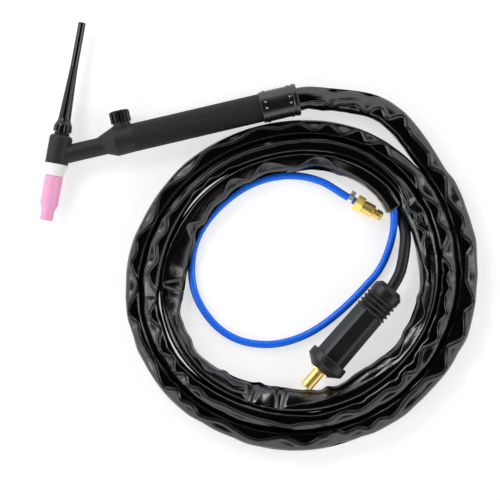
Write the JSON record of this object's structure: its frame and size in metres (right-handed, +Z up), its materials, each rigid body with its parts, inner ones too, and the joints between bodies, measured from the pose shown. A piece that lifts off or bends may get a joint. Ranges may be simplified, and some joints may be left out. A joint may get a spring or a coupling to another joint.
{
  "type": "tig torch",
  "caption": "Air-cooled gas-shielded welding torch with angled head, long fluted back cap, pink ceramic nozzle, gas valve knob, coiled sheathed leads, twist-lock power plug and gas fitting.",
  "frame": {"origin": "centre of the torch's own outline seen from above, on the bench it lies on", "axes": "+X along the handle from the head towards the leads, +Z up from the bench, +Y towards the valve knob and the back cap"},
  "size_m": [0.4401, 0.4955, 0.0438],
  "materials": {
    "moulding": "fine matte grain",
    "gloss_black": "glossy",
    "brass": "satin",
    "copper": "satin",
    "ptfe": "smooth",
    "ceramic": "semi-matt fired",
    "seal": "smooth",
    "handle_rubber": "matte",
    "band": "glossy",
    "steel": "bright",
    "sheath": "glossy wrinkled vinyl",
    "cable": "matte",
    "hose": "satin, braid showing through",
    "grip_rubber": "matte"
  },
  "bodies": {
    "torch": {"head_insulation": "moulding", "head_body": "brass", "neck_tube": "copper", "collet_body": "brass", "valve_block": "brass", "valve_bonnet": "brass", "tail_adapter": "brass", "cable_nut": "brass", "cable_lug": "copper", "inner_hose_clamp": "steel", "handle": "handle_rubber", "handle_collar": "gloss_black", "front_band": "band", "rear_band": "band", "band_clips": "steel", "sheath": "sheath", "power_cable": "cable", "gas_hose": "hose", "plug_pin": "brass", "plug_grip": "grip_rubber", "cable_ferrule": "copper", "plug_screws": "steel", "gas_nipple": "brass", "ear_clamp": "steel"},
    "valve_spindle": {"valve_stem": "brass", "valve_knob": "gloss_black"},
    "stem_seal": {"stem_oring": "seal"},
    "cap_screw": {"back_cap": "gloss_black", "cap_insert": "brass"},
    "collet_group": {"collet": "copper", "cap_oring": "seal"},
    "nozzle_screw": {"ceramic_nozzle": "ceramic"},
    "gasket_ring": {"cup_gasket": "ptfe"},
    "gas_nut_body": {"gas_nut": "brass"}
  },
  "joints": [
    {"name": "valve_turn", "type": "hinge", "parent": "stem_seal", "child": "valve_spindle", "pos_m": [-0.04005, -0.01246, 0.01705], "axis": [0, 1, 0], "range_deg": [0, 540.5]},
    {"name": "valve_lift", "type": "slide", "parent": "torch", "child": "stem_seal", "axis": [0, 1, 0], "range_m": [0, 0.0015]},
    {"name": "cap_turn", "type": "hinge", "parent": "collet_group", "child": "cap_screw", "pos_m": [-0.08863, 0.02256, 0.01705], "axis": [0.3987, 0.9171, 0], "range_deg": [0, 720.5]},
    {"name": "cap_lift", "type": "slide", "parent": "torch", "child": "collet_group", "axis": [0.3987, 0.9171, 0], "range_m": [0, 0.0025]},
    {"name": "nozzle_turn", "type": "hinge", "parent": "gasket_ring", "child": "nozzle_screw", "pos_m": [-0.13049, -0.07373, 0.01705], "axis": [-0.3987, -0.9171, 0], "range_deg": [0, 720.5]},
    {"name": "nozzle_lift", "type": "slide", "parent": "torch", "child": "gasket_ring", "axis": [-0.3987, -0.9171, 0], "range_m": [0, 0.0025]},
    {"name": "gas_nut_turn", "type": "hinge", "parent": "torch", "child": "gas_nut_body", "pos_m": [0.18994, -0.15919, 0.01001], "axis": [-0.7254, 0.6884, 0], "continuous": true}
  ],
  "couplings": [
    {"joint": "valve_turn", "follows": "valve_lift", "rad_per_m": 6283.2},
    {"joint": "cap_turn", "follows": "cap_lift", "rad_per_m": 5026.5},
    {"joint": "nozzle_turn", "follows": "nozzle_lift", "rad_per_m": 5026.5}
  ]
}
